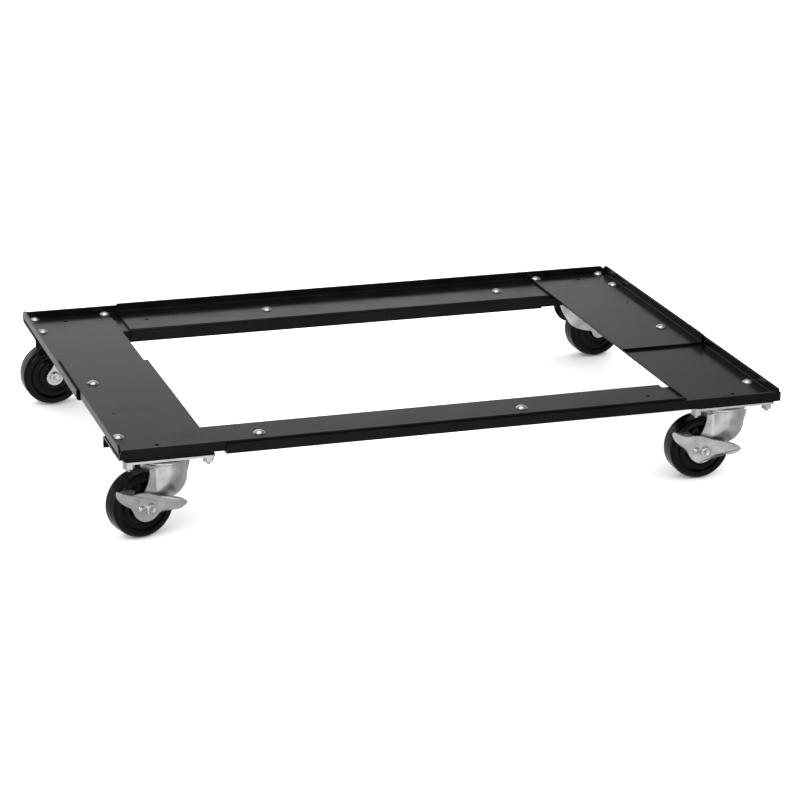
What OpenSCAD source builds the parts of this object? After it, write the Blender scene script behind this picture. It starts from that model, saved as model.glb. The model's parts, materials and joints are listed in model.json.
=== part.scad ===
// Adjustable cabinet dolly: four bolted corner assemblies that telescope into each
// other along both sides of a rectangular tray frame, each on a swivel caster.
// Frame: X along the long side, Y towards the rear, Z up, origin on the floor under
// the centre of the tray.

/* [Frame] */
// Overall length of the tray at the rest setting, over the outer lips
frame_w = 930; // [905:1:960]
// Overall depth of the tray at the rest setting, over the outer lips
frame_d = 638; // [620:1:660]
// Height of the caster mounting face above the floor
deck_z = 112; // [112:1:120]

/* [Sheet members] */
// Thickness of the bent sheet
sheet = 3; // [2.5:0.1:3.2]
// Clearance between telescoping sheets
gap = 0.3; // [0.3:0.05:0.5]
// Inside radius of every sheet bend
bend_r = 2; // [1.5:0.5:2.5]
// Height of the upturned outer lips, sheet included
lip_h = 15; // [12:0.5:18]
// Height of the downturned inner flange of a rail, sheet included
flange_h = 16.5; // [14:0.5:18]
// Width of a rail from the lip's outer face to the flange's outer face
rail_w = 98; // [96:1:104]
// Length of a rail from its own corner
rail_len = 786; // [780:1:788]
// Width of a side plate
plate_w = 127; // [127:1:128]
// Length of a side plate from its own corner
plate_len = 383; // [375:1:390]

/* [Fasteners] */
// Radius of a bolt shank
bolt_r = 3.17; // [3:0.01:3.2]
// Radius of a domed bolt head
head_r = 8; // [7:0.5:8]
// Height of a domed bolt head
head_h = 4; // [3:0.5:5]
// Width across the flats of a hexagon nut
nut_af = 13; // [10:0.5:13]

/* [Casters] */
// Radius of a wheel
wheel_r = 44.45; // [44:0.05:44.5]
// Width of a wheel across its tread
wheel_w = 34; // [30:0.5:34]
// Horizontal distance from the kingpin to the axle
trail = 36; // [34:0.5:37]
// Swivel angle of the front left fork
swivel_fl = 17; // [-20:1:20]
// Swivel angle of the front right fork
swivel_fr = 1; // [-20:1:20]
// Swivel angle of the rear left fork
swivel_rl = 4; // [-20:1:20]
// Swivel angle of the rear right fork, measured from the opposite trail direction
swivel_rr = 5; // [-20:1:20]

/* [Hidden] */
$fn = 64;

step = sheet + gap;
bend_outer = bend_r + sheet;

// Levels of the undersides, from the floor
lower_rail_z = deck_z;
lower_plate_z = lower_rail_z + sheet;
upper_rail_z = deck_z + step;
upper_plate_z = upper_rail_z + sheet;

// Bolt places, from the outer faces of a corner's own lips
bolt_x_near = 14.6;
bolt_x_far = 119.9;
bolt_y_near = 13.3;
bolt_y_far = 74.9;
caster_bolts_at = [
    [bolt_x_near, bolt_y_near],
    [bolt_x_far, bolt_y_near],
    [bolt_x_near, bolt_y_far]
];
kingpin_at = [(bolt_x_near + bolt_x_far) / 2, (bolt_y_near + bolt_y_far) / 2];
corner_pilot_at = [56.9, 33.7];
side_pilot_at = [30, 170];
corner_pilot_r = 3.2;
side_pilot_r = 2.2;
shank_hole_r = bolt_r + 0.08;

// Clamp screws of the upper members, and the empty hole near a rail's free end
clamp_y = 52;
clamp_xs = [199, 567];
rail_end_hole_x = rail_len - 34;
plate_clamp_at = [30, 299];
slot_r = bolt_r + 0.45;

// Travel of the two sliding directions, outward positive
width_in = 12;
width_out = 300;
depth_in = 60;
depth_out = 30;

// Places of the clamp screws along the lower members, from their own corner
rail_slot_rest = frame_w - step - clamp_xs[1];
rail_notch_rest = frame_w - step - clamp_xs[0];
plate_slot_rest = frame_d - step - plate_clamp_at[1];

// Corner relief and lip ends
relief_at = [5.5, 5.5];
relief_r = 3;
upper_lip_round = 9;
lower_lip_round = 2;
plate_start = sheet + bend_r + gap;

// Caster top plate
top_plate_size = [121, 85];
top_plate_t = 3;
top_plate_round = 6;
top_plate_z = deck_z - top_plate_t;
race_r = 31;
race_wall = 3;
race_h = 3;
kingpin_r = 5;
kingpin_head_r = 8;
kingpin_head_h = 2;

// Fork
crown_top_z = top_plate_z - 5;
crown_r = 31;
fork_t = 3;
leg_inner = wheel_w / 2 + 1.5;
leg_outer = leg_inner + fork_t;
deck_under_z = 92;
skirt_z = 58;
axle_z = wheel_r;
axle_r = 4;
leg_hole_r = axle_r + 0.1;
shoulder_at = [6, 76];
shoulder_r = 28;
arm_at = [12, 66];
arm_r = 17;
ball_r = 2.35;
ball_ring_r = 23.5;
ball_count = 20;

// Wheel
bushing_r = 6;
hub_half = leg_inner - 0.4;
wheel_shoulder = 8;
hub_r = 13;
web_recess = 5;
recess_out_r = 34;

// Brake lever, placed from the axle: x along the trail, y outward, z up
lever_t = 2;
brake_standoff = 6;
lever_y = leg_outer + brake_standoff;
tab_root_y = lever_y + lever_t / 2;
rivet_at = [trail + 14, axle_z + 3];
rivet_r = 3;
lever_slot_r = axle_r + 3.2;
collar_r = 7;
rivet_collar_r = 5;
foot_depth = 11;
pad_inner = wheel_w / 2 + 0.6;
pad_low = [22, 17];
pad_high = [40, 29];

white_zinc = [0.78, 0.79, 0.80];
powder_black = [0.06, 0.06, 0.065];
bright_steel = [0.85, 0.86, 0.87];
wheel_black = [0.03, 0.03, 0.03];
rubber_black = [0.09, 0.09, 0.09];

// ---- placing the four corners -------------------------------------------------

// Upper members sit one sheet and one clearance inside the lower ones
module at_front_left() {
    translate([-frame_w / 2 + step, -frame_d / 2 + step, 0]) children();
}

module at_rear_right() {
    rotate(180) at_front_left() children();
}

module at_front_right() {
    translate([frame_w / 2, -frame_d / 2, 0]) mirror([1, 0, 0]) children();
}

module at_rear_left() {
    rotate(180) at_front_right() children();
}

// Moves a caster, built about its kingpin with the wheel trailing along +X
module caster_at(corner_x, corner_y, turn) {
    translate([corner_x, corner_y, 0]) rotate(turn) children();
}

upper_king = [frame_w / 2 - step - kingpin_at[0], frame_d / 2 - step - kingpin_at[1]];
lower_king = [frame_w / 2 - kingpin_at[0], frame_d / 2 - kingpin_at[1]];

module caster_front_left() {
    caster_at(-upper_king[0], -upper_king[1], 180 + swivel_fl) children();
}

module caster_front_right() {
    caster_at(lower_king[0], -lower_king[1], 180 + swivel_fr) children();
}

module caster_rear_left() {
    caster_at(-lower_king[0], lower_king[1], 180 + swivel_rl) children();
}

module caster_rear_right() {
    caster_at(upper_king[0], upper_king[1], swivel_rr) children();
}

// ---- bent sheet profiles --------------------------------------------------------

// A quarter of the plane with one rounded corner at the origin
module corner_block(leg_x, leg_y, radius) {
    translate([radius, 0]) square([leg_x - radius, leg_y]);
    translate([0, radius]) square([leg_x, leg_y - radius]);
    translate([radius, radius]) circle(radius);
}

// One bend with its outer corner at the origin
module bent_strip(leg_x, leg_y) {
    difference() {
        corner_block(leg_x, leg_y, bend_outer);
        translate([sheet, sheet]) corner_block(leg_x, leg_y, bend_r);
    }
}

// Rail section: x across the rail from its lip, y up from its underside
module rail_section() {
    bent_strip(rail_w / 2 + 1, lip_h);
    translate([rail_w, sheet]) rotate(180) bent_strip(rail_w / 2 + 1, flange_h);
}

// Removes the upper corner of a lip standing in the XZ plane at x = 0
module lip_end_round(radius, top) {
    translate([0, -1, top - radius]) rotate([-90, 0, 0]) linear_extrude(sheet + 2) {
        difference() {
            translate([-1, -radius - 1]) square(radius + 1);
            translate([radius, 0]) circle(radius);
        }
    }
}

module pilot(at, radius) {
    translate([at[0], at[1], deck_z - 1]) cylinder(r = radius, h = 12);
}

module bolt_holes(places, radius) {
    for (at = places) translate([at[0], at[1], deck_z - 5]) cylinder(r = radius, h = 20);
}

// A straight slot with round ends, through the sheet
module slot(from, to, radius) {
    run = to - from;
    translate([from[0], from[1], deck_z - 1]) cylinder(r = radius, h = 9);
    translate([to[0], to[1], deck_z - 1]) cylinder(r = radius, h = 9);
    translate([min(from[0], to[0]), min(from[1], to[1]), deck_z - 1])
        translate([run[0] == 0 ? -radius : 0, run[1] == 0 ? -radius : 0, 0])
            cube([max(abs(run[0]), run[0] == 0 ? 2 * radius : 0),
                  max(abs(run[1]), run[1] == 0 ? 2 * radius : 0), 9]);
}

module rail_blank(z, lip_round) {
    difference() {
        translate([0, 0, z]) rotate([90, 0, 90]) linear_extrude(rail_len) rail_section();
        bolt_holes(caster_bolts_at, shank_hole_r);
        lip_end_round(lip_round, z + lip_h);
        translate([relief_at[0], relief_at[1], z - 1]) cylinder(r = relief_r, h = sheet + 2);
    }
}

module plate_blank(z) {
    difference() {
        translate([0, plate_len, z]) rotate([90, 0, 0])
            linear_extrude(plate_len - plate_start) bent_strip(plate_w, lip_h);
        bolt_holes(caster_bolts_at, shank_hole_r);
        translate([relief_at[0], relief_at[1], z - 1]) cylinder(r = relief_r, h = sheet + 2);
        pilot(corner_pilot_at, corner_pilot_r);
    }
}

module upper_rail() {
    color(powder_black) difference() {
        rail_blank(upper_rail_z, upper_lip_round);
        bolt_holes([for (x = clamp_xs) [x, clamp_y]], shank_hole_r);
        bolt_holes([[rail_end_hole_x, clamp_y]], shank_hole_r);
    }
}

module lower_rail() {
    slot_y = clamp_y + step;
    color(powder_black) difference() {
        rail_blank(lower_rail_z, lower_lip_round);
        slot([rail_slot_rest - width_in, slot_y], [rail_slot_rest + width_out, slot_y], slot_r);
        slot([rail_notch_rest - width_in, slot_y], [rail_len + slot_r, slot_y], slot_r);
    }
}

module upper_plate() {
    color(powder_black) difference() {
        plate_blank(upper_plate_z);
        bolt_holes([plate_clamp_at], shank_hole_r);
        pilot(side_pilot_at, side_pilot_r);
        translate([0, plate_start, 0]) mirror([1, -1, 0])
            lip_end_round(upper_lip_round, upper_plate_z + lip_h);
    }
}

module lower_plate() {
    slot_x = plate_clamp_at[0] + step;
    color(powder_black) difference() {
        plate_blank(lower_plate_z);
        slot([slot_x, plate_slot_rest - depth_in], [slot_x, plate_slot_rest + depth_out], slot_r);
    }
}

// ---- fasteners --------------------------------------------------------------------

module dome_profile(radius, height) {
    ball = (radius * radius + height * height) / (2 * height);
    intersection() {
        translate([0, height - ball]) circle(ball);
        square([radius, height]);
    }
}

// Domed bolt: underside of the head at z = top, shank down to z = tip
module dome_bolt(at, top, tip) {
    translate([at[0], at[1], top]) rotate_extrude() dome_profile(head_r, head_h);
    translate([at[0], at[1], tip + 1]) cylinder(r = bolt_r, h = top - tip - 1 + 0.5);
    translate([at[0], at[1], tip]) cylinder(r1 = bolt_r - 0.8, r2 = bolt_r, h = 1);
}

// Flanged hexagon nut hanging below z = face
module flange_nut(at, face) {
    translate([at[0], at[1], face]) mirror([0, 0, 1]) difference() {
        union() {
            cylinder(r = 8.2, h = 1.6);
            cylinder(r = nut_af / 2 / cos(30), h = nut_h, $fn = 6);
        }
        translate([0, 0, -1]) cylinder(r = bolt_r + 0.06, h = nut_h + 2);
    }
}

nut_h = 9;
tip_reach = 12.5;
caster_nut_z = top_plate_z;
bolt_tip_z = caster_nut_z - tip_reach;

module caster_bolts(head_z) {
    color(bright_steel) for (at = caster_bolts_at) dome_bolt(at, head_z, bolt_tip_z);
}

module caster_nuts() {
    color(bright_steel) for (at = caster_bolts_at) flange_nut(at, caster_nut_z);
}

clamp_places = [
    for (x = clamp_xs) [x, clamp_y, upper_rail_z + sheet, lower_rail_z - gap],
    [plate_clamp_at[0], plate_clamp_at[1], upper_plate_z + sheet, lower_plate_z - gap]
];

module clamp_screws() {
    color(bright_steel) for (at = clamp_places) dome_bolt(at, at[2], at[3] - tip_reach);
}

module clamp_nuts() {
    color(bright_steel) for (at = clamp_places) flange_nut(at, at[3]);
}

// ---- caster ---------------------------------------------------------------------

// A plate with four round corners, centred, standing on z = 0
module round_plate(size_x, size_y, radius, height) {
    linear_extrude(height) {
        square([size_x - 2 * radius, size_y], center = true);
        square([size_x, size_y - 2 * radius], center = true);
        for (sx = [-1, 1], sy = [-1, 1])
            translate([sx * (size_x / 2 - radius), sy * (size_y / 2 - radius)]) circle(radius);
    }
}

top_holes_at = [
    for (sx = [-1, 1], sy = [-1, 1])
        [sx * (bolt_x_far - bolt_x_near) / 2, sy * (bolt_y_far - bolt_y_near) / 2]
];

module top_plate_at_origin() {
    difference() {
        union() {
            translate([0, 0, top_plate_z])
                round_plate(top_plate_size[0], top_plate_size[1], top_plate_round, top_plate_t);
            translate([0, 0, top_plate_z - race_h]) cylinder(r = race_r, h = race_h);
        }
        translate([0, 0, top_plate_z - race_h - 1])
            cylinder(r = race_r - race_wall, h = race_h + 1);
        translate([0, 0, deck_z - kingpin_head_h]) cylinder(r = kingpin_head_r + 0.05, h = 3);
        translate([0, 0, top_plate_z - 1]) cylinder(r = kingpin_r + 0.05, h = 5);
        for (at = top_holes_at)
            translate([at[0], at[1], top_plate_z - 1]) cylinder(r = shank_hole_r, h = 5);
    }
}

module caster_top_plate() {
    color(white_zinc) translate([kingpin_at[0], kingpin_at[1], 0]) top_plate_at_origin();
}

module kingpin() {
    head_z = deck_under_z - gap - 3.5;
    color(bright_steel) translate([kingpin_at[0], kingpin_at[1], 0]) {
        translate([0, 0, deck_z - kingpin_head_h])
            cylinder(r = kingpin_head_r, h = kingpin_head_h);
        translate([0, 0, head_z]) cylinder(r = kingpin_r, h = deck_z - kingpin_head_h - head_z);
        translate([0, 0, head_z]) cylinder(r = kingpin_head_r, h = 3.5);
    }
}

module shim() {
    color(powder_black) difference() {
        translate([kingpin_at[0], kingpin_at[1], deck_z]) round_plate(117, 80, 5, step);
        bolt_holes(caster_bolts_at, shank_hole_r);
    }
}

module swivel_balls() {
    color(bright_steel)
        for (i = [0 : ball_count - 1])
            rotate(i * 360 / ball_count)
                translate([ball_ring_r, 0, crown_top_z + ball_r]) sphere(ball_r);
}

// A bar between two round ends, blended into a stamped outline
module blended_bar(from, from_r, to, to_r) {
    hull() {
        translate(from) circle(from_r, $fn = 32);
        translate(to) circle(to_r, $fn = 32);
    }
}

// Side view of a fork leg: x along the trail, y up
module leg_outline(end_at, end_r) {
    hull() {
        translate([-crown_r, deck_under_z - 6]) square([2 * crown_r, fork_t + 6]);
        translate(shoulder_at) circle(shoulder_r);
    }
    blended_bar(arm_at, arm_r, end_at, end_r);
}

// Extrudes a side view over y from low to high
module side_slab(low, high) {
    translate([0, high, 0]) rotate([90, 0, 0]) linear_extrude(high - low) children();
}

module fork_skirt() {
    difference() {
        translate([0, 0, skirt_z])
            cylinder(r1 = leg_outer, r2 = crown_r, h = deck_under_z - skirt_z + fork_t);
        translate([0, 0, skirt_z - 1])
            cylinder(r1 = leg_outer - fork_t, r2 = crown_r - fork_t, h = deck_under_z - skirt_z + 1);
    }
}

// The raceway drum on top of the fork, with a rounded shoulder
module fork_crown() {
    drum_h = crown_top_z - deck_under_z;
    translate([0, 0, deck_under_z]) rotate_extrude() {
        square([crown_r - 4, drum_h]);
        square([crown_r, drum_h - 4]);
        translate([crown_r - 4, drum_h - 4]) circle(4);
    }
}

module axle_line_hole(at, radius) {
    translate([at[0], 0, at[1]]) rotate([90, 0, 0]) cylinder(r = radius, h = 80, center = true);
}

module fork(end_at, end_r) {
    intersection() {
        fork_skirt();
        side_slab(-crown_r, crown_r) leg_outline(end_at, end_r);
    }
    side_slab(leg_inner, leg_outer) leg_outline(end_at, end_r);
    side_slab(-leg_outer, -leg_inner) leg_outline(end_at, end_r);
    fork_crown();
}

module fork_bores() {
    translate([-80, -leg_inner, 0]) cube([160, 2 * leg_inner, deck_under_z]);
    translate([0, 0, deck_under_z - 1]) cylinder(r = kingpin_r + 0.05, h = 20);
    axle_line_hole([trail, axle_z], leg_hole_r);
}

module plain_fork() {
    color(white_zinc) difference() {
        fork([trail, axle_z], 12.5);
        fork_bores();
    }
}

module braked_fork() {
    color(white_zinc) difference() {
        fork([trail + 5, axle_z + 1.5], 15.5);
        fork_bores();
        axle_line_hole(rivet_at, rivet_r + 0.05);
    }
}

// Turns a body of revolution about z into one about the axle
module on_axle() {
    translate([trail, 0, axle_z]) rotate([-90, 0, 0]) children();
}

bolt_seat_y = lever_y + lever_t + gap;

module axle_bolt(seat_y) {
    color(bright_steel) on_axle() {
        translate([0, 0, -leg_outer - 9]) cylinder(r = axle_r, h = leg_outer + 9 + seat_y);
        if (seat_y > leg_outer)
            translate([0, 0, leg_outer]) cylinder(r = collar_r, h = brake_standoff - gap);
        translate([0, 0, seat_y]) cylinder(r = 8, h = 2.5);
        translate([0, 0, seat_y + 2.5]) cylinder(r1 = 8, r2 = 6.5, h = 1.5);
    }
}

module axle_nut() {
    color(bright_steel) on_axle() mirror([0, 0, 1]) translate([0, 0, leg_outer]) difference() {
        union() {
            cylinder(r = 8.5, h = 1.5);
            cylinder(r = 13 / 2 / cos(30), h = 7.5, $fn = 6);
        }
        translate([0, 0, -1]) cylinder(r = axle_r + 0.05, h = 10);
    }
}

module wheel_bushing() {
    color(bright_steel) on_axle() difference() {
        cylinder(r = bushing_r, h = 2 * leg_inner - 0.1, center = true);
        cylinder(r = axle_r + 0.05, h = 60, center = true);
    }
}

// Half section of the wheel: x outward from the axle, y along the axle
module wheel_section() {
    inner_r = bushing_r + 0.05;
    half_w = wheel_w / 2;
    body_w = 2 * (half_w - web_recess);
    rim_w = wheel_r - wheel_shoulder - recess_out_r;
    translate([inner_r, -body_w / 2]) square([wheel_r - wheel_shoulder - inner_r, body_w]);
    translate([inner_r, -hub_half]) square([hub_r - inner_r, 2 * hub_half]);
    translate([recess_out_r, -half_w]) square([rim_w, wheel_w]);
    translate([wheel_r - wheel_shoulder, wheel_shoulder - half_w])
        square([wheel_shoulder, wheel_w - 2 * wheel_shoulder]);
    for (s = [-1, 1])
        translate([wheel_r - wheel_shoulder, s * (half_w - wheel_shoulder)]) circle(wheel_shoulder);
    for (s = [-1, 1])
        translate([23, s * (half_w - web_recess)]) circle(1.5);
}

module wheel() {
    color(wheel_black) on_axle() rotate_extrude() wheel_section();
}

// ---- brake ----------------------------------------------------------------------

// Side view of the lever, drawn about the axle: x along the trail, y up
module lever_outline() {
    difference() {
        union() {
            blended_bar([7, 5], 16.8, [4.5, 0.5], 16);
            blended_bar([10, 9], 13.5, [43, 21.5], 7.5);
            blended_bar([42, 22], 6.5, [50, 29.5], 4.3);
            blended_bar([-3, 5.4], 11, [-44.5, 2.8], 7.6);
        }
        circle(lever_slot_r);
        translate(rivet_at - [trail, axle_z]) circle(rivet_r + 0.05);
    }
}

// Foot tab folded outward along the top of the lower wing, widening to its tip
module foot_tab() {
    intersection() {
        side_slab(tab_root_y, lever_y + lever_t + foot_depth)
            polygon([[-16, 13.3], [-47, 8.2], [-47, 6.2], [-16, 11.3]]);
        translate([0, 0, -10]) linear_extrude(40)
            polygon([[-16, lever_y], [-47, lever_y],
                     [-47, lever_y + foot_depth - 2], [-36, lever_y + foot_depth + 2]]);
    }
}

module brake_lever() {
    color(white_zinc) translate([trail, 0, axle_z]) {
        side_slab(lever_y, lever_y + lever_t) lever_outline();
        foot_tab();
    }
}

// Friction shoe on the inner face of the raised wing, beside the tread
module brake_pad() {
    color(rubber_black) translate([trail + pad_low[0], pad_inner, axle_z + pad_low[1]])
        cube([pad_high[0] - pad_low[0], lever_y - pad_inner, pad_high[1] - pad_low[1]]);
}

module brake_rivet() {
    length = bolt_seat_y - leg_inner - 0.5;
    color(bright_steel) translate([rivet_at[0], 0, rivet_at[1]]) rotate([-90, 0, 0]) {
        translate([0, 0, leg_inner + 0.5]) cylinder(r = rivet_r, h = length);
        translate([0, 0, leg_outer]) cylinder(r = rivet_collar_r, h = brake_standoff - gap);
        translate([0, 0, bolt_seat_y]) rotate_extrude() dome_profile(5, 2.5);
    }
}

plain_seat_y = leg_outer;
upper_head_z = upper_plate_z + sheet;
lower_head_z = lower_plate_z + sheet;

// ---- the assembled object -------------------------------------------------------

at_front_left() upper_rail();  // front_left_rail
at_front_left() upper_plate();  // front_left_plate
at_front_left() shim();  // front_left_shim
at_front_left() caster_bolts(upper_head_z);  // front_left_caster_bolts
at_front_left() caster_nuts();  // front_left_caster_nuts
at_front_left() clamp_screws();  // front_left_clamp_screws
at_front_left() clamp_nuts();  // front_left_clamp_nuts
at_front_left() caster_top_plate();  // front_left_caster_top_plate
at_front_left() kingpin();  // front_left_kingpin
caster_front_left() swivel_balls();  // front_left_swivel_balls
caster_front_left() braked_fork();  // front_left_fork
caster_front_left() axle_bolt(bolt_seat_y);  // front_left_axle_bolt
caster_front_left() axle_nut();  // front_left_axle_nut
caster_front_left() wheel_bushing();  // front_left_wheel_bushing
caster_front_left() wheel();  // front_left_wheel
caster_front_left() brake_lever();  // front_left_brake_lever
caster_front_left() brake_pad();  // front_left_brake_pad
caster_front_left() brake_rivet();  // front_left_brake_rivet

at_front_right() lower_rail();  // front_right_rail
at_front_right() lower_plate();  // front_right_plate
at_front_right() caster_bolts(lower_head_z);  // front_right_caster_bolts
at_front_right() caster_nuts();  // front_right_caster_nuts
at_front_right() caster_top_plate();  // front_right_caster_top_plate
at_front_right() kingpin();  // front_right_kingpin
caster_front_right() swivel_balls();  // front_right_swivel_balls
caster_front_right() braked_fork();  // front_right_fork
caster_front_right() axle_bolt(bolt_seat_y);  // front_right_axle_bolt
caster_front_right() axle_nut();  // front_right_axle_nut
caster_front_right() wheel_bushing();  // front_right_wheel_bushing
caster_front_right() wheel();  // front_right_wheel
caster_front_right() brake_lever();  // front_right_brake_lever
caster_front_right() brake_pad();  // front_right_brake_pad
caster_front_right() brake_rivet();  // front_right_brake_rivet

at_rear_left() lower_rail();  // rear_left_rail
at_rear_left() lower_plate();  // rear_left_plate
at_rear_left() caster_bolts(lower_head_z);  // rear_left_caster_bolts
at_rear_left() caster_nuts();  // rear_left_caster_nuts
at_rear_left() caster_top_plate();  // rear_left_caster_top_plate
at_rear_left() kingpin();  // rear_left_kingpin
caster_rear_left() swivel_balls();  // rear_left_swivel_balls
caster_rear_left() plain_fork();  // rear_left_fork
caster_rear_left() axle_bolt(plain_seat_y);  // rear_left_axle_bolt
caster_rear_left() axle_nut();  // rear_left_axle_nut
caster_rear_left() wheel_bushing();  // rear_left_wheel_bushing
caster_rear_left() wheel();  // rear_left_wheel

at_rear_right() upper_rail();  // rear_right_rail
at_rear_right() upper_plate();  // rear_right_plate
at_rear_right() shim();  // rear_right_shim
at_rear_right() caster_bolts(upper_head_z);  // rear_right_caster_bolts
at_rear_right() caster_nuts();  // rear_right_caster_nuts
at_rear_right() clamp_screws();  // rear_right_clamp_screws
at_rear_right() clamp_nuts();  // rear_right_clamp_nuts
at_rear_right() caster_top_plate();  // rear_right_caster_top_plate
at_rear_right() kingpin();  // rear_right_kingpin
caster_rear_right() swivel_balls();  // rear_right_swivel_balls
caster_rear_right() plain_fork();  // rear_right_fork
caster_rear_right() axle_bolt(plain_seat_y);  // rear_right_axle_bolt
caster_rear_right() axle_nut();  // rear_right_axle_nut
caster_rear_right() wheel_bushing();  // rear_right_wheel_bushing
caster_rear_right() wheel();  // rear_right_wheel
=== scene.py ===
import json
import math
import bmesh
import bpy
from mathutils import Matrix, Vector


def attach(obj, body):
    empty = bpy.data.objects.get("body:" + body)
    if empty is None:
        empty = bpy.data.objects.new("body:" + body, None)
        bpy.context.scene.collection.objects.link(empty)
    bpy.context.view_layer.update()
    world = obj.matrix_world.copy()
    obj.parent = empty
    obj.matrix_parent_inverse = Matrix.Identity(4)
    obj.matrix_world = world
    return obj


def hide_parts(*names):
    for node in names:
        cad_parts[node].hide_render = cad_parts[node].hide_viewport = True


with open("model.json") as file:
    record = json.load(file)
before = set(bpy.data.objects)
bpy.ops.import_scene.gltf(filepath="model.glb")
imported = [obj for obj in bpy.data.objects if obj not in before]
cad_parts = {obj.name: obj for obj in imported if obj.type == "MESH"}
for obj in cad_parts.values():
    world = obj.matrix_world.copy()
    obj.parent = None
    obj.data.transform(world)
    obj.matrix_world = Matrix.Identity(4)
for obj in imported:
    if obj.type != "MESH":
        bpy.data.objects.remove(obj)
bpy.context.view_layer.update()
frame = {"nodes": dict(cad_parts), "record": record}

MM = 0.001
CORNERS = ("front_left", "front_right", "rear_left", "rear_right")
BRAKED = ("front_left", "front_right")
UPPER = ("front_left", "rear_right")
JOINTS = {joint["name"]: joint for joint in frame["record"]["behaviour"]["joints"]}


# ---- materials -------------------------------------------------------------------

def new_material(name):
    material = bpy.data.materials.new(name)
    material.use_nodes = True
    nodes = material.node_tree.nodes
    nodes.clear()
    output = nodes.new("ShaderNodeOutputMaterial")
    shader = nodes.new("ShaderNodeBsdfPrincipled")
    material.node_tree.links.new(shader.outputs["BSDF"], output.inputs["Surface"])
    return material, shader


def object_noise(material, scale, detail=3.0, stretch=(1, 1, 1), roughness=0.5):
    """Noise in the object's own metres."""
    nodes, links = material.node_tree.nodes, material.node_tree.links
    coords = nodes.new("ShaderNodeTexCoord")
    mapping = nodes.new("ShaderNodeMapping")
    mapping.inputs["Scale"].default_value = stretch
    noise = nodes.new("ShaderNodeTexNoise")
    noise.inputs["Scale"].default_value = scale
    noise.inputs["Detail"].default_value = detail
    noise.inputs["Roughness"].default_value = roughness
    links.new(coords.outputs["Object"], mapping.inputs["Vector"])
    links.new(mapping.outputs["Vector"], noise.inputs["Vector"])
    return noise.outputs["Fac"]


def ramp(tree, factor, stops):
    """A colour ramp through (position, colour) stops, in the nodes of a material or of the world."""
    node = tree.nodes.new("ShaderNodeValToRGB")
    elements = node.color_ramp.elements
    while len(elements) < len(stops):
        elements.new(0.5)
    for element, (position, colour) in zip(elements, stops):
        element.position = position
        element.color = (*colour, 1.0)
    tree.links.new(factor, node.inputs["Fac"])
    return node.outputs["Color"]


def grey(value):
    return (value, value, value)


NOISE_LOW = 0.3
NOISE_HIGH = 0.7


def spread(material, factor, low, high):
    """Maps noise, most of which lies between NOISE_LOW and NOISE_HIGH, to low..high."""
    node = material.node_tree.nodes.new("ShaderNodeMapRange")
    node.inputs["From Min"].default_value = NOISE_LOW
    node.inputs["From Max"].default_value = NOISE_HIGH
    node.inputs["To Min"].default_value = low
    node.inputs["To Max"].default_value = high
    material.node_tree.links.new(factor, node.inputs["Value"])
    return node.outputs["Result"]


def bumps(material, shader, layers, bevel=0.0):
    """Stacks (factor, strength, distance) bump layers, over rounded edges if bevel is set."""
    nodes, links = material.node_tree.nodes, material.node_tree.links
    normal = None
    if bevel:
        rounded = nodes.new("ShaderNodeBevel")
        rounded.samples = 4
        rounded.inputs["Radius"].default_value = bevel
        normal = rounded.outputs["Normal"]
    for factor, strength, distance in layers:
        bump = nodes.new("ShaderNodeBump")
        bump.inputs["Strength"].default_value = strength
        bump.inputs["Distance"].default_value = distance
        links.new(factor, bump.inputs["Height"])
        if normal:
            links.new(normal, bump.inputs["Normal"])
        normal = bump.outputs["Normal"]
    links.new(normal, shader.inputs["Normal"])


COAT_DARK = (0.0012, 0.0013, 0.0015)
COAT_LIGHT = (0.0030, 0.0031, 0.0034)


def powder_coat():
    """Black, with faint blotches, orange peel and specks of dust."""
    material, shader = new_material("black_powder_coat")
    tree = material.node_tree
    blotches = object_noise(material, 22, 4)
    peel = object_noise(material, 520, 2)
    sag = object_noise(material, 70, 2)
    dust = object_noise(material, 240, 6, roughness=0.75)
    colour = ramp(tree, blotches, [(NOISE_LOW, COAT_DARK), (NOISE_HIGH, COAT_LIGHT)])
    specks = ramp(tree, dust, [(0.66, grey(0.0)), (0.80, grey(0.02))])
    mix = tree.nodes.new("ShaderNodeMixRGB")
    mix.blend_type = "ADD"
    mix.inputs["Fac"].default_value = 0.5
    tree.links.new(colour, mix.inputs["Color1"])
    tree.links.new(specks, mix.inputs["Color2"])
    tree.links.new(mix.outputs["Color"], shader.inputs["Base Color"])
    tree.links.new(spread(material, blotches, 0.16, 0.23), shader.inputs["Roughness"])
    shader.inputs["Specular IOR Level"].default_value = 0.11
    bumps(material, shader, [(peel, 0.07, 0.0002), (sag, 0.05, 0.0010)], bevel=0.0004)
    return material


def zinc(name, base, rough, grain_stretch, grain_strength):
    """Plated or plain steel: a cool and a warm tone in clouds, with grain and pits."""
    material, shader = new_material(name)
    tree = material.node_tree
    clouds = object_noise(material, 60, 5)
    grain = object_noise(material, 700, 4, grain_stretch)
    pits = object_noise(material, 420, 3)
    cool = (base * 0.74, base * 0.765, base * 0.81)
    warm = (base * 1.05, base * 1.045, base * 1.02)
    tree.links.new(ramp(tree, clouds, [(0.32, cool), (0.68, warm)]), shader.inputs["Base Color"])
    tree.links.new(spread(material, clouds, rough * 0.8, rough * 1.25), shader.inputs["Roughness"])
    shader.inputs["Metallic"].default_value = 1.0
    bumps(material, shader, [(grain, grain_strength, 0.0001), (pits, 0.08, 0.0001)], bevel=0.0003)
    return material


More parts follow.
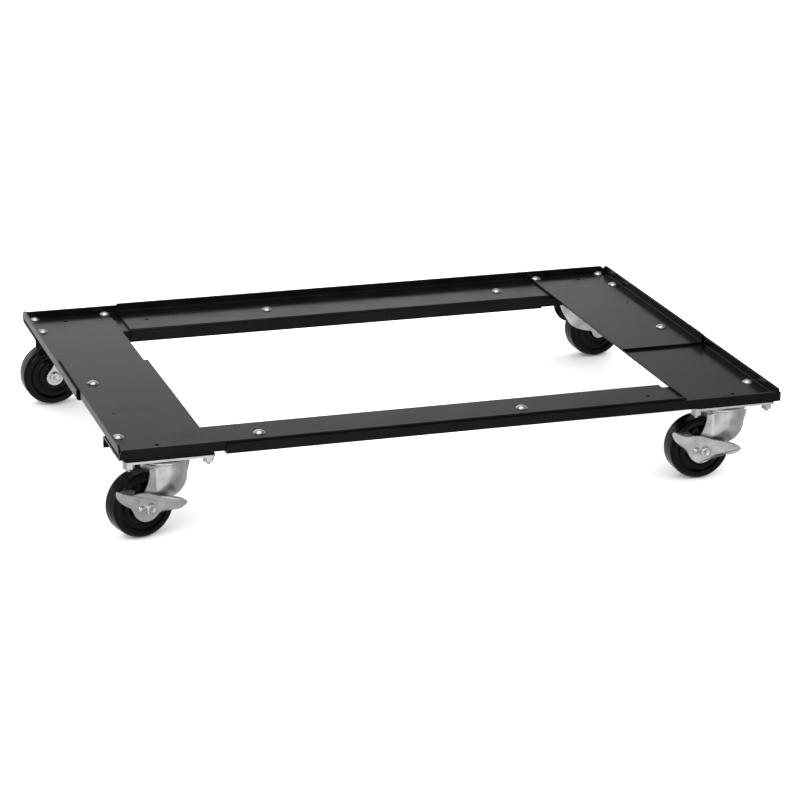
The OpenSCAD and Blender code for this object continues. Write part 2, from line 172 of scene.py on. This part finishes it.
def wheel_black():
    """Glossy moulded black with fine scuffs."""
    material, shader = new_material("gloss_black_wheel")
    tree = material.node_tree
    flow = object_noise(material, 40, 4)
    scuff = object_noise(material, 900, 5, roughness=0.7)
    colour = ramp(tree, flow, [(NOISE_LOW, grey(0.0008)), (NOISE_HIGH, grey(0.002))])
    tree.links.new(colour, shader.inputs["Base Color"])
    tree.links.new(spread(material, flow, 0.12, 0.22), shader.inputs["Roughness"])
    shader.inputs["Specular IOR Level"].default_value = 0.14
    bumps(material, shader, [(scuff, 0.06, 0.0001), (flow, 0.10, 0.0006)])
    return material


def brake_rubber():
    """Matt dark rubber with a fine grain."""
    material, shader = new_material("brake_rubber")
    tree = material.node_tree
    grain = object_noise(material, 1200, 5)
    colour = ramp(tree, grain, [(NOISE_LOW, grey(0.012)), (NOISE_HIGH, grey(0.03))])
    tree.links.new(colour, shader.inputs["Base Color"])
    tree.links.new(spread(material, grain, 0.6, 0.8), shader.inputs["Roughness"])
    bumps(material, shader, [(grain, 0.3, 0.0002)], bevel=0.0005)
    return material


MATERIALS = {
    "powder_coat": powder_coat(),
    "zinc_plate": zinc("zinc_plate", base=0.72, rough=0.28, grain_stretch=(1, 1, 6), grain_strength=0.22),
    "bright_zinc": zinc("bright_zinc", base=0.70, rough=0.20, grain_stretch=(1, 1, 1), grain_strength=0.10),
    "ball_steel": zinc("ball_steel", base=0.60, rough=0.20, grain_stretch=(1, 1, 1), grain_strength=0.05),
    "wheel_black": wheel_black(),
    "brake_rubber": brake_rubber(),
}


# ---- mesh building ---------------------------------------------------------------

# Vertices closer than this many metres are merged, and radii under this many mm are on the axis
SAME_POINT = 1e-6
ON_AXIS = 1e-6


def finish_mesh(name, mesh_builder, slot, body, node, crease=38.0, clean=True):
    """Turns a bmesh into a piece with smooth faces and sharp creases, in place of a CAD node."""
    if clean:
        bmesh.ops.remove_doubles(mesh_builder, verts=mesh_builder.verts, dist=SAME_POINT)
    bmesh.ops.recalc_face_normals(mesh_builder, faces=mesh_builder.faces)
    for face in mesh_builder.faces:
        face.smooth = True
    for edge in mesh_builder.edges:
        if len(edge.link_faces) == 2:
            edge.smooth = edge.calc_face_angle(0.0) < math.radians(crease)
    mesh = bpy.data.meshes.new(name)
    mesh_builder.to_mesh(mesh)
    mesh_builder.free()
    mesh.materials.append(MATERIALS[slot])
    piece = bpy.data.objects.new(name, mesh)
    bpy.context.scene.collection.objects.link(piece)
    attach(piece, body)
    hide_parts(node)


def add_vert(builder, place, point):
    """A vertex at a local point in mm."""
    return builder.verts.new(place @ (Vector(point) * MM))


def ring_vert(builder, place, radius, angle, height):
    """A vertex at a local radius, angle and height in mm and radians."""
    return builder.verts.new(place @ Vector((
        radius * MM * math.cos(angle), radius * MM * math.sin(angle), height * MM)))


def add_lathe(builder, profile, place, around=96):
    """Revolves a closed or open (radius, height) outline in mm about local Z, then places it."""
    rings = []
    for radius, height in profile:
        if radius < ON_AXIS:
            rings.append([add_vert(builder, place, (0, 0, height))])
            continue
        rings.append([
            ring_vert(builder, place, radius, 2 * math.pi * i / around, height)
            for i in range(around)
        ])
    for low, high in zip(rings, rings[1:]):
        join_rings(builder, low, high)


def join_rings(builder, low, high):
    """Faces between two rings of equal length, or between a ring and a single point."""
    count = max(len(low), len(high))
    for i in range(count):
        j = (i + 1) % count
        if len(low) == 1:
            builder.faces.new((low[0], high[i], high[j]))
        elif len(high) == 1:
            builder.faces.new((low[i], low[j], high[0]))
        else:
            builder.faces.new((low[i], low[j], high[j], high[i]))


def arc(centre, radius, start, end, steps):
    """Points of an arc in a profile, angles in degrees."""
    return [
        (centre[0] + radius * math.cos(math.radians(start + (end - start) * i / steps)),
         centre[1] + radius * math.sin(math.radians(start + (end - start) * i / steps)))
        for i in range(steps + 1)
    ]


def loft(builder, outer, inner):
    """Closes a sheet between two equal grids of points."""
    rows, columns = len(outer), len(outer[0])
    grids = [[[builder.verts.new(p) for p in row] for row in grid] for grid in (outer, inner)]
    for grid in grids:
        for r in range(rows - 1):
            for c in range(columns - 1):
                builder.faces.new((grid[r][c], grid[r][c + 1], grid[r + 1][c + 1], grid[r + 1][c]))
    border = [(0, c) for c in range(columns)]
    border += [(r, columns - 1) for r in range(1, rows)]
    border += [(rows - 1, c) for c in range(columns - 2, -1, -1)]
    border += [(r, 0) for r in range(rows - 2, 0, -1)]
    for (r0, c0), (r1, c1) in zip(border, border[1:] + border[:1]):
        builder.faces.new((grids[0][r0][c0], grids[0][r1][c1], grids[1][r1][c1], grids[1][r0][c0]))


# ---- places taken from the frame ---------------------------------------------------

def caster_frame(corner):
    """Local frame of a caster: X along the trail, Y along the axle, Z up, origin on the floor."""
    pin = Vector(JOINTS[f"swivel_{corner}_turn"]["pos_m"])
    outward = Vector(JOINTS[f"wheel_{corner}_roll"]["axis"]).normalized()
    along = outward.cross(Vector((0, 0, 1)))
    turn = Matrix((along, outward, Vector((0, 0, 1)))).transposed().to_4x4()
    return Matrix.Translation((pin.x, pin.y, 0)) @ turn


def axle_frame(corner):
    """Local Z along the axle, outward, origin at the wheel's centre."""
    centre = Vector(JOINTS[f"wheel_{corner}_roll"]["pos_m"])
    turn = caster_frame(corner).to_3x3().to_4x4()
    return Matrix.Translation(centre) @ turn @ Matrix.Rotation(math.radians(-90), 4, "X")


# ---- wheels ------------------------------------------------------------------------

WHEEL_R = 44.45
WHEEL_HALF = 17.0
SHOULDER = 8.0


def wheel_half_profile():
    """(radius, height) from the bore to the middle of the tread, on the outer side."""
    hub = [(6.1, 18.0), (10.6, 18.0), (11.6, 17.7), (12.3, 16.9), (12.7, 15.4)]
    ribbed_disc = [
        (13.6, 13.6), (15.2, 12.5), (20.6, 11.9), (21.4, 12.2), (22.0, 12.9), (23.2, 13.1),
        (24.2, 12.7), (24.9, 12.0), (30.8, 11.7), (32.6, 12.2), (33.4, 13.4), (33.8, 15.6)
    ]
    rim = [(34.3, 16.6), (35.3, WHEEL_HALF)]
    rim += arc((WHEEL_R - SHOULDER, WHEEL_HALF - SHOULDER), SHOULDER, 88, 4, 10)
    tread_with_seam = [(WHEEL_R - 0.03, 7.0), (WHEEL_R - 0.05, 0.9), (WHEEL_R, 0.45)]
    return hub + ribbed_disc + rim + tread_with_seam


def build_wheel(corner):
    """The moulded wheel, the same on both sides."""
    half = wheel_half_profile()
    profile = half + [(radius, -height) for radius, height in reversed(half)]
    builder = bmesh.new()
    add_lathe(builder, profile + [profile[0]], axle_frame(corner), around=144)
    finish_mesh(f"{corner}_moulded_wheel", builder, "wheel_black", f"wheel_{corner}", f"{corner}_wheel",
                crease=50)


# ---- fork --------------------------------------------------------------------------

CROWN_R = 31.0
CROWN_RIM_R = 33.4
CROWN_RIM_ROUND = 2.6
CROWN_TOP = 104.0
CROWN_UNDER = 92.0
LEG_OUTER = 21.5
SHEET = 3.0
# A leg bends from flat to round between these heights, and ends inside the crown
BEND_LOW = 50
BEND_HIGH = 90
LEG_INTO_CROWN = 3.0
LEG_ROWS = 40
LEG_COLUMNS = 30
LEG_ROW_CROWDING = 1.4


def smoothstep(value, low, high):
    t = min(1.0, max(0.0, (value - low) / (high - low)))
    return t * t * (3 - 2 * t)


def follow(points, value):
    """Straight-line interpolation through (key, result) pairs sorted by key."""
    if value <= points[0][0]:
        return points[0][1]
    for (k0, v0), (k1, v1) in zip(points, points[1:]):
        if value <= k1:
            return v0 + (v1 - v0) * (value - k0) / (k1 - k0)
    return points[-1][1]


# A fork leg: its round end at the axle, and (height, place along the trail) for each edge above it
PLAIN_LEG = {
    "end": (36.0, 44.45),
    "end_r": 12.5,
    "leading": [
        (44.45, 23.5), (46, 15), (48, 8), (52, -4), (57, -12.5),
        (65, -19), (73, -23.5), (81, -27), (88, -29.5), (95, -31)
    ],
    "trailing": [
        (44.45, 48.5), (48, 47.4), (52, 45), (58, 40),
        (65, 36.2), (73, 34), (81, 32.4), (88, 31.4), (95, 31)
    ],
}
BRAKED_LEG = {
    "end": (41.0, 45.95),
    "end_r": 15.5,
    "leading": [
        (45.95, 25.5), (47, 16), (49, 8), (52, -2), (57, -11.5),
        (65, -18.5), (73, -23.5), (81, -27), (88, -29.5), (95, -31)
    ],
    "trailing": [
        (45.95, 56.5), (50, 55), (54, 51), (58, 46.5),
        (65, 40.5), (73, 36.5), (81, 33.8), (88, 32), (95, 31)
    ],
}


def leg_limits(leg, z):
    """Where a leg starts and ends along the trail at one height."""
    end_x, end_z = leg["end"]
    if z >= end_z:
        return follow(leg["leading"], z), follow(leg["trailing"], z)
    half = math.sqrt(max(0.0, leg["end_r"] ** 2 - (end_z - z) ** 2))
    return end_x - half, end_x + half


# Ahead of the wheel the legs wrap round the crown to a narrow nose
LEADING_WRAP_X = -12.0
NOSE_HALF = 16.0


def leg_surface(x, z):
    """Distance of a leg's outer face from the middle plane: round at the crown, flat at the axle."""
    closest = LEG_OUTER if x > LEADING_WRAP_X else NOSE_HALF
    round_part = math.sqrt(max(CROWN_R ** 2 - x * x, closest ** 2))
    return LEG_OUTER + (round_part - LEG_OUTER) * smoothstep(z, BEND_LOW, BEND_HIGH)


def leg_grid(leg, side, inset, place):
    """Points over a leg's outer face, or inset from it, with closer rows round the axle end."""
    low = leg["end"][1] - leg["end_r"] + 0.02
    high = CROWN_UNDER + LEG_INTO_CROWN
    grid = []
    for r in range(LEG_ROWS + 1):
        z = low + (high - low) * (r / LEG_ROWS) ** LEG_ROW_CROWDING
        left, right = leg_limits(leg, z)
        row = []
        for c in range(LEG_COLUMNS + 1):
            x = left + (right - left) * c / LEG_COLUMNS
            y = side * (leg_surface(x, z) - inset)
            row.append(place @ Vector((x * MM, y * MM, z * MM)))
        grid.append(row)
    return grid


def crown_profile():
    """Closed (radius, height) outline: a dished top with a raised ring, and a rolled rim outside."""
    top = [(5.1, CROWN_UNDER), (5.1, CROWN_TOP - 1.2), (9.5, CROWN_TOP - 1.2), (12.0, CROWN_TOP - 0.2)]
    top += [(15.0, CROWN_TOP), (16.6, CROWN_TOP - 1.0), (19.0, CROWN_TOP - 1.4), (21.4, CROWN_TOP - 1.0)]
    rim = arc((CROWN_RIM_R - CROWN_RIM_ROUND, CROWN_TOP - 3.0), CROWN_RIM_ROUND, 84, -84, 12)
    side = [(CROWN_R, CROWN_TOP - 6.2), (CROWN_R, CROWN_UNDER + 1.5), (CROWN_R - 1.4, CROWN_UNDER)]
    return top + rim + side + top[:1]


def build_fork(corner):
    """Two bent legs joined to the round crown."""
    place = caster_frame(corner)
    leg = BRAKED_LEG if corner in BRAKED else PLAIN_LEG
    builder = bmesh.new()
    for side in (1, -1):
        loft(builder, leg_grid(leg, side, 0.0, place), leg_grid(leg, side, SHEET - 0.01, place))
    add_lathe(builder, crown_profile(), place, around=128)
    finish_mesh(f"{corner}_pressed_fork", builder, "zinc_plate", f"swivel_{corner}", f"{corner}_fork",
                crease=40)


# ---- brake lever ---------------------------------------------------------------------

LEVER_Y = LEG_OUTER + 6.0
LEVER_T = 2.0
FOOT_T = 1.8

# Stamped outline of the lever about the axle, (along the trail, up): from the tip of the raised
# wing over the top to the other wing, and back below the axle
LEVER_OUTLINE = [
    (47.5, 32.4), (43.5, 29.8), (38.5, 27.4), (32.5, 25.0), (27.0, 23.6), (21.0, 23.9), (15.5, 24.0),
    (9.0, 23.2), (1.0, 20.8), (-10.0, 16.2), (-20.7, 13.4), (-32.0, 11.2), (-43.0, 7.2),
    (-49.8, 3.7), (-53.8, 0.4), (-53.4, -2.2), (-49.0, -5.4), (-41.0, -7.6), (-31.0, -6.8),
    (-20.7, -4.9), (-15.5, -5.4), (-11.5, -8.0), (-4.6, -13.4), (2.2, -15.6), (9.8, -15.2),
    (17.6, -10.8), (22.6, -4.6), (26.0, 2.4), (30.6, 7.9), (37.2, 12.0), (43.6, 17.6),
    (48.4, 24.0), (50.0, 29.0), (49.4, 32.0)
]


def closed_curve(points, per_span):
    """Catmull-Rom curve through a closed ring of points."""
    count = len(points)
    result = []
    for i in range(count):
        p0, p1, p2, p3 = (Vector(points[(i + k) % count]) for k in (-1, 0, 1, 2))
        for s in range(per_span):
            t = s / per_span
            result.append(0.5 * (2 * p1 + (p2 - p0) * t + (2 * p0 - 5 * p1 + 4 * p2 - p3) * t ** 2
                                 + (3 * p1 - p0 - 3 * p2 + p3) * t ** 3))
    return result


def offset_ring(ring, distance):
    """Moves a counter-clockwise closed 2D ring outward by a small distance."""
    count = len(ring)
    moved = []
    for i in range(count):
        tangent = (ring[(i + 1) % count] - ring[i - 1]).normalized()
        moved.append(ring[i] + Vector((tangent.y, -tangent.x)) * distance)
    return moved


def add_stamping(builder, outline, low, high, place, lip=0.35):
    """A flat stamping between two Y levels, its faces wider than its outline in XZ by a small lip."""
    layers = [
        (offset_ring(outline, lip), low), (outline, low + lip),
        (outline, high - lip), (offset_ring(outline, lip), high)
    ]
    rings = [
        [builder.verts.new(place @ Vector((p.x * MM, y * MM, p.y * MM))) for p in ring]
        for ring, y in layers
    ]
    for lower, upper in zip(rings, rings[1:]):
        join_rings(builder, lower, upper)
    for ring in (rings[0], rings[-1]):
        face = builder.faces.new(ring)
        bmesh.ops.triangulate(builder, faces=[face])


def add_box(builder, low, high, place, edge=0.4):
    """A block with bevelled edges between two local corners in mm."""
    made = bmesh.ops.create_cube(builder, size=1.0)["verts"]
    low, high = Vector(low), Vector(high)
    for vert in made:
        vert.co = Vector(low[k] + (high[k] - low[k]) * (vert.co[k] + 0.5) for k in range(3))
    edges = list({link for vert in made for link in vert.link_edges})
    bevelled = bmesh.ops.bevel(
        builder, geom=edges, offset=edge, segments=2, affect="EDGES", profile=0.6)
    verts = {vert for face in bevelled["faces"] for vert in face.verts}
    verts |= {vert for vert in made if vert.is_valid}
    for vert in verts:
        vert.co = place @ (vert.co * MM)


def add_prism(builder, corners, thickness, place):
    """A thin plate: corners are local 3D points in mm, thickened downward along Z."""
    drop = Vector((0, 0, thickness))
    top = [add_vert(builder, place, p) for p in corners]
    under = [add_vert(builder, place, Vector(p) - drop) for p in corners]
    builder.faces.new(top)
    builder.faces.new(list(reversed(under)))
    join_rings(builder, under, top)


# The pad stands clear of the wheel's side by PAD_GAP, and behind the raised wing
PAD_GAP = 0.6
PAD_LOW = (22.0, WHEEL_HALF + PAD_GAP, 17.0)
PAD_HIGH = (40.0, LEVER_Y, 29.0)


def lever_frame(corner):
    """Caster directions about the wheel's centre."""
    centre = Vector(JOINTS[f"wheel_{corner}_roll"]["pos_m"])
    return Matrix.Translation(centre) @ caster_frame(corner).to_3x3().to_4x4()


def build_pad(corner):
    """The dark block behind the raised wing of the lever."""
    builder = bmesh.new()
    add_box(builder, PAD_LOW, PAD_HIGH, lever_frame(corner), edge=1.6)
    finish_mesh(f"{corner}_brake_shoe", builder, "brake_rubber", f"brake_{corner}", f"{corner}_brake_pad")


def build_lever(corner):
    """The stamped lever with its two wings and the folded foot."""
    place = lever_frame(corner)
    outline = closed_curve(LEVER_OUTLINE, per_span=4)
    builder = bmesh.new()
    add_stamping(builder, outline, LEVER_Y, LEVER_Y + LEVER_T, place)
    reach = LEVER_Y + 1.0
    foot = [
        (-15, reach, 15.0), (-36, LEVER_Y + 13.0, 10.4),
        (-47, LEVER_Y + 9.0, 6.0), (-50.5, reach, 3.6)
    ]
    add_prism(builder, foot, FOOT_T, place)
    finish_mesh(f"{corner}_stamped_lever", builder, "zinc_plate", f"brake_{corner}",
                f"{corner}_brake_lever", crease=32, clean=False)


# ---- fasteners -------------------------------------------------------------------------

BOLT_R = 3.17
HEAD_R = 8.0
HEAD_H = 4.0
HEAD_RIM_H = 0.7
THREAD_LENGTH = 13
AXLE_THREAD_LENGTH = 9.0
THREAD_PITCH = 1.27
THREAD_DEPTH = 0.36
THREAD_STEPS = 6
TIP_TAPER = 0.9
TIP_CHAMFER = 0.5
NUT_FLATS = 13.0
NUT_BORE_R = 3.25
NUT_CHAMFER = 0.9
FLANGE_CHAMFER = 0.05
CHAMFER_SLOPE = 1.9
AXLE_R = 4.0
AXLE_NUT_H = 7.5


def add_thread(builder, place, top, tip, radius=BOLT_R):
    """A threaded bolt end pointing down local Z, from top to tip."""
    around = 24
    steps = int((top - tip) / THREAD_PITCH * THREAD_STEPS)
    rings = []
    for s in range(steps + 1):
        z = top + (tip - top) * s / steps
        fade = min(1.0, (z - tip) / TIP_TAPER)
        ring = []
        for i in range(around):
            angle = 2 * math.pi * i / around
            phase = (z / THREAD_PITCH - i / around) % 1.0
            groove = THREAD_DEPTH * (1 - abs(2 * phase - 1))
            r = radius - groove - TIP_CHAMFER * (1 - fade)
            ring.append(ring_vert(builder, place, r, angle, z))
        rings.append(ring)
    for high, low in zip(rings, rings[1:]):
        join_rings(builder, low, high)
    end = add_vert(builder, place, (0, 0, tip))
    join_rings(builder, [end], rings[-1])


def add_dome_head(builder, place, seat):
    """A domed head that stands on local z = seat."""
    dome = HEAD_H - HEAD_RIM_H
    ball = (HEAD_R ** 2 + dome ** 2) / (2 * dome)
    top = seat + HEAD_H
    profile = [(0, top)]
    reach = math.degrees(math.asin(HEAD_R * 0.985 / ball))
    profile += arc((0, top - ball), ball, 90, 90 - reach, 12)[1:]
    profile += [(HEAD_R, seat + 0.45), (HEAD_R - 0.1, seat + 0.1), (HEAD_R - 0.5, seat), (BOLT_R, seat)]
    add_lathe(builder, profile, place, around=48)


def add_hex(builder, place, low, high, bore):
    """A hexagon nut between two local heights with a bore, its corners chamfered at the low end."""
    around = 48
    levels = [
        (low, NUT_CHAMFER), (low + NUT_CHAMFER, 0),
        (high - FLANGE_CHAMFER, 0), (high, FLANGE_CHAMFER)
    ]
    corner = NUT_FLATS / 2 / math.cos(math.pi / 6)
    rings = []
    for z, cut in levels:
        ring = []
        for i in range(around):
            angle = 2 * math.pi * i / around
            flat = NUT_FLATS / 2 / math.cos((angle % (math.pi / 3)) - math.pi / 6)
            ring.append(ring_vert(builder, place, min(flat, corner - cut * CHAMFER_SLOPE), angle, z))
        rings.append(ring)
    for z in (high, low):
        rings.append([
            ring_vert(builder, place, bore, 2 * math.pi * i / around, z)
            for i in range(around)
        ])
    rings.append(rings[0])
    for lower, upper in zip(rings, rings[1:]):
        join_rings(builder, lower, upper)


def add_flange(builder, place, face, inner, outer, thickness, lip, slope):
    """A nut's round flange under local z = face, with a rounded lip and a sloping back."""
    add_lathe(builder, [
        (inner, face), (outer - lip, face), (outer, face - 0.3), (outer, face - 1.1),
        (outer - slope, face - thickness), (inner, face - thickness), (inner, face)
    ], place, around=48)


def islands(node):
    """Boxes of the separate solids in one CAD node, as (low, high), sorted by place."""
    mesh = frame["nodes"][node].data
    parent = list(range(len(mesh.vertices)))

    def root(i):
        while parent[i] != i:
            parent[i] = parent[parent[i]]
            i = parent[i]
        return i

    seen = {}
    for vert in mesh.vertices:
        key = tuple(round(c * 1e6) for c in vert.co)
        parent[root(vert.index)] = root(seen.setdefault(key, vert.index))
    for edge in mesh.edges:
        parent[root(edge.vertices[0])] = root(edge.vertices[1])
    groups = {}
    for vert in mesh.vertices:
        groups.setdefault(root(vert.index), []).append(vert.co)
    boxes = []
    for points in groups.values():
        low = Vector(min(p[k] for p in points) for k in range(3))
        high = Vector(max(p[k] for p in points) for k in range(3))
        boxes.append((low, high))
    return sorted(boxes, key=lambda box: (round(box[0].x, 4), round(box[0].y, 4)))


def upright_at(low, high):
    """The vertical line through the middle of a box, with its origin on the floor."""
    return Matrix.Translation(((low.x + high.x) / 2, (low.y + high.y) / 2, 0))


def build_dome_bolts(node, body):
    """Domed bolts with a plain shank and a threaded end, one for each solid of the CAD node."""
    builder = bmesh.new()
    for low, high in islands(node):
        place = upright_at(low, high)
        seat = high.z / MM - HEAD_H
        tip = low.z / MM
        add_dome_head(builder, place, seat)
        add_lathe(builder, [(BOLT_R, seat), (BOLT_R, tip + THREAD_LENGTH)], place, around=24)
        add_thread(builder, place, tip + THREAD_LENGTH, tip)
    finish_mesh(f"{node}_threaded", builder, "bright_zinc", body, node, crease=35)


def build_nuts(node, body):
    """Flanged nuts, one for each solid of the CAD node."""
    builder = bmesh.new()
    for low, high in islands(node):
        place = upright_at(low, high)
        top, under = high.z / MM, low.z / MM
        add_flange(builder, place, top, inner=3.3, outer=8.2, thickness=1.8, lip=0.5, slope=0.9)
        add_hex(builder, place, under, top - 1.75, bore=NUT_BORE_R)
    finish_mesh(f"{node}_flanged", builder, "bright_zinc", body, node, crease=30)


def build_axle_bolt(corner):
    """The round headed axle bolt: head outward, thread through the nut."""
    place = axle_frame(corner)
    braked = corner in BRAKED
    seat = LEVER_Y + LEVER_T + 0.3 if braked else LEG_OUTER
    head = [(AXLE_R, seat), (7.5, seat), (8.0, seat + 0.5), (8.0, seat + 2.3), (7.4, seat + 3.4)]
    head += [(6.2, seat + 4.0), (3.4, seat + 3.9), (2.8, seat + 3.5), (0, seat + 3.4)]
    builder = bmesh.new()
    add_lathe(builder, [(AXLE_R, -LEG_OUTER)] + head, place, around=64)
    if braked:
        collar = [
            (AXLE_R, LEG_OUTER), (6.7, LEG_OUTER), (7.0, LEG_OUTER + 0.3),
            (7.0, LEG_OUTER + 5.4), (6.7, LEG_OUTER + 5.7), (AXLE_R, LEG_OUTER + 5.7)
        ]
        add_lathe(builder, collar, place, around=48)
    add_thread(builder, place, -LEG_OUTER, -LEG_OUTER - AXLE_THREAD_LENGTH, radius=AXLE_R)
    finish_mesh(f"{corner}_axle_bolt_turned", builder, "bright_zinc", f"swivel_{corner}",
                f"{corner}_axle_bolt", crease=32)


def build_axle_nut(corner):
    """The flanged nut on the inner side of the fork."""
    place = axle_frame(corner)
    face = -LEG_OUTER
    builder = bmesh.new()
    add_flange(builder, place, face, inner=4.1, outer=8.5, thickness=1.6, lip=0.4, slope=0.8)
    add_hex(builder, place, face - AXLE_NUT_H, face - 1.55, bore=AXLE_R + 0.05)
    finish_mesh(f"{corner}_axle_nut_flanged", builder, "bright_zinc", f"swivel_{corner}",
                f"{corner}_axle_nut", crease=30)


# ---- the object --------------------------------------------------------------------------

def dress_cad_nodes():
    """Gives every CAD node the material of its slot."""
    for row in frame["record"]["subparts"]:
        piece = frame["nodes"][row["node"]]
        piece.data.materials.clear()
        piece.data.materials.append(MATERIALS[row["material_slot"]])


def build_object():
    dress_cad_nodes()
    for corner in CORNERS:
        build_wheel(corner)
        build_fork(corner)
        build_axle_bolt(corner)
        build_axle_nut(corner)
        build_dome_bolts(f"{corner}_caster_bolts", f"corner_{corner}")
        build_nuts(f"{corner}_caster_nuts", f"corner_{corner}")
    for corner in UPPER:
        build_dome_bolts(f"{corner}_clamp_screws", f"corner_{corner}")
        build_nuts(f"{corner}_clamp_nuts", f"corner_{corner}")
    for corner in BRAKED:
        build_lever(corner)
        build_pad(corner)


# ---- stage, light and camera ---------------------------------------------------------------

FLOOR_HALF = 30.0
FLOOR_Z = -0.0005


def add_stage():
    """A flat white floor far larger than the view, which reflections leave out."""
    builder = bmesh.new()
    corners = [(-1, -1), (1, -1), (1, 1), (-1, 1)]
    builder.faces.new([
        builder.verts.new((x * FLOOR_HALF, y * FLOOR_HALF, FLOOR_Z)) for x, y in corners
    ])
    mesh = bpy.data.meshes.new("floor")
    builder.to_mesh(mesh)
    builder.free()
    floor = bpy.data.objects.new("floor", mesh)
    bpy.context.scene.collection.objects.link(floor)
    material, shader = new_material("white_floor")
    tree = material.node_tree
    tone = object_noise(material, 3, 2)
    colour = ramp(tree, tone, [(0.0, grey(0.90)), (1.0, grey(0.92))])
    tree.links.new(colour, shader.inputs["Base Color"])
    shader.inputs["Roughness"].default_value = 0.9
    shader.inputs["Specular IOR Level"].default_value = 0.0
    mesh.materials.append(material)
    floor.visible_glossy = False


def add_area(name, place, target, size, power):
    """A rectangular lamp that faces its target, with its power in watts."""
    light = bpy.data.lights.new(name, "AREA")
    light.shape = "RECTANGLE"
    light.size, light.size_y = size
    light.energy = power
    lamp = bpy.data.objects.new(name, light)
    lamp.location = place
    lamp.rotation_euler = (Vector(target) - Vector(place)).to_track_quat("-Z", "Y").to_euler()
    bpy.context.scene.collection.objects.link(lamp)


# Brightness that glossy surfaces see, from straight down (0) over the horizon (0.5) to straight up
# (1), and from the left (0) to the right (1)
ROOM_BY_HEIGHT = [
    (0.0, 0.40), (0.30, 0.62), (0.42, 0.70), (0.53, 0.80), (0.60, 1.0),
    (0.645, 1.0), (0.658, 0.36), (0.70, 0.26), (0.80, 0.24), (1.0, 0.40)
]
ROOM_BY_SIDE = [
    (0.0, 0.45), (0.20, 0.60), (0.33, 1.0), (0.44, 0.80),
    (0.60, 1.0), (0.66, 0.95), (0.71, 0.50), (1.0, 0.40)
]
ROOM_STRENGTH = 1.6
WORLD_STRENGTH = 2.2

# Name, place, target, size in metres and power of each lamp
LAMPS = [
    ("overhead", (-0.3, 0.2, 2.6), (0, 0, 0.1), (2.6, 1.8), 16),
    ("front_left", (-2.2, -2.6, 1.9), (0, 0, 0.05), (1.4, 1.4), 22),
]


def grey_stops(levels):
    return [(position, grey(level)) for position, level in levels]


def add_light():
    """White surroundings, which glossy surfaces see as a room with a bright band above the horizon."""
    world = bpy.data.worlds.new("studio")
    world.use_nodes = True
    tree = world.node_tree
    plain = tree.nodes["Background"]
    plain.inputs["Color"].default_value = (1.0, 1.0, 1.0, 1.0)
    plain.inputs["Strength"].default_value = WORLD_STRENGTH
    room = tree.nodes.new("ShaderNodeBackground")
    room.inputs["Strength"].default_value = ROOM_STRENGTH
    coords = tree.nodes.new("ShaderNodeTexCoord")
    halved = tree.nodes.new("ShaderNodeVectorMath")
    halved.operation = "MULTIPLY_ADD"
    halved.inputs[1].default_value = (0.5, 0.5, 0.5)
    halved.inputs[2].default_value = (0.5, 0.5, 0.5)
    parts = tree.nodes.new("ShaderNodeSeparateXYZ")
    tree.links.new(coords.outputs["Generated"], halved.inputs[0])
    tree.links.new(halved.outputs["Vector"], parts.inputs["Vector"])
    product = tree.nodes.new("ShaderNodeMixRGB")
    product.blend_type = "MULTIPLY"
    product.inputs["Fac"].default_value = 1.0
    by_height = ramp(tree, parts.outputs["Z"], grey_stops(ROOM_BY_HEIGHT))
    by_side = ramp(tree, parts.outputs["X"], grey_stops(ROOM_BY_SIDE))
    tree.links.new(by_height, product.inputs["Color1"])
    tree.links.new(by_side, product.inputs["Color2"])
    tree.links.new(product.outputs["Color"], room.inputs["Color"])
    rays = tree.nodes.new("ShaderNodeLightPath")
    mix = tree.nodes.new("ShaderNodeMixShader")
    tree.links.new(rays.outputs["Is Glossy Ray"], mix.inputs["Fac"])
    tree.links.new(plain.outputs["Background"], mix.inputs[1])
    tree.links.new(room.outputs["Background"], mix.inputs[2])
    tree.links.new(mix.outputs["Shader"], tree.nodes["World Output"].inputs["Surface"])
    bpy.context.scene.world = world
    for lamp in LAMPS:
        add_area(*lamp)


# The camera's place in metres, its angles in degrees, and its lens and sensor in mm
CAMERA_AT = (-1.1644, -3.5324, 1.3278)
CAMERA_TURN = 18.533
CAMERA_PITCH = 18.927
CAMERA_ROLL = -0.974
LENS = 123.16
SENSOR = 36.0


def add_camera():
    """The viewing angle of the reference view."""
    turn, pitch, roll = (math.radians(a) for a in (CAMERA_TURN, CAMERA_PITCH, CAMERA_ROLL))
    level = math.cos(pitch)
    ahead = Vector((math.sin(turn) * level, math.cos(turn) * level, -math.sin(pitch)))
    right = Vector((math.cos(turn), -math.sin(turn), 0))
    down = ahead.cross(right)
    rolled_right = right * math.cos(roll) + down * math.sin(roll)
    rolled_down = down * math.cos(roll) - right * math.sin(roll)
    data = bpy.data.cameras.new("camera")
    data.lens = LENS
    data.sensor_width = SENSOR
    data.clip_end = 100.0
    camera = bpy.data.objects.new("camera", data)
    axes = Matrix((rolled_right, -rolled_down, -ahead)).transposed().to_4x4()
    camera.matrix_world = Matrix.Translation(CAMERA_AT) @ axes
    bpy.context.scene.collection.objects.link(camera)
    bpy.context.scene.camera = camera


bpy.context.scene.view_settings.view_transform = "Standard"
add_camera()
add_stage()
add_light()
build_object()
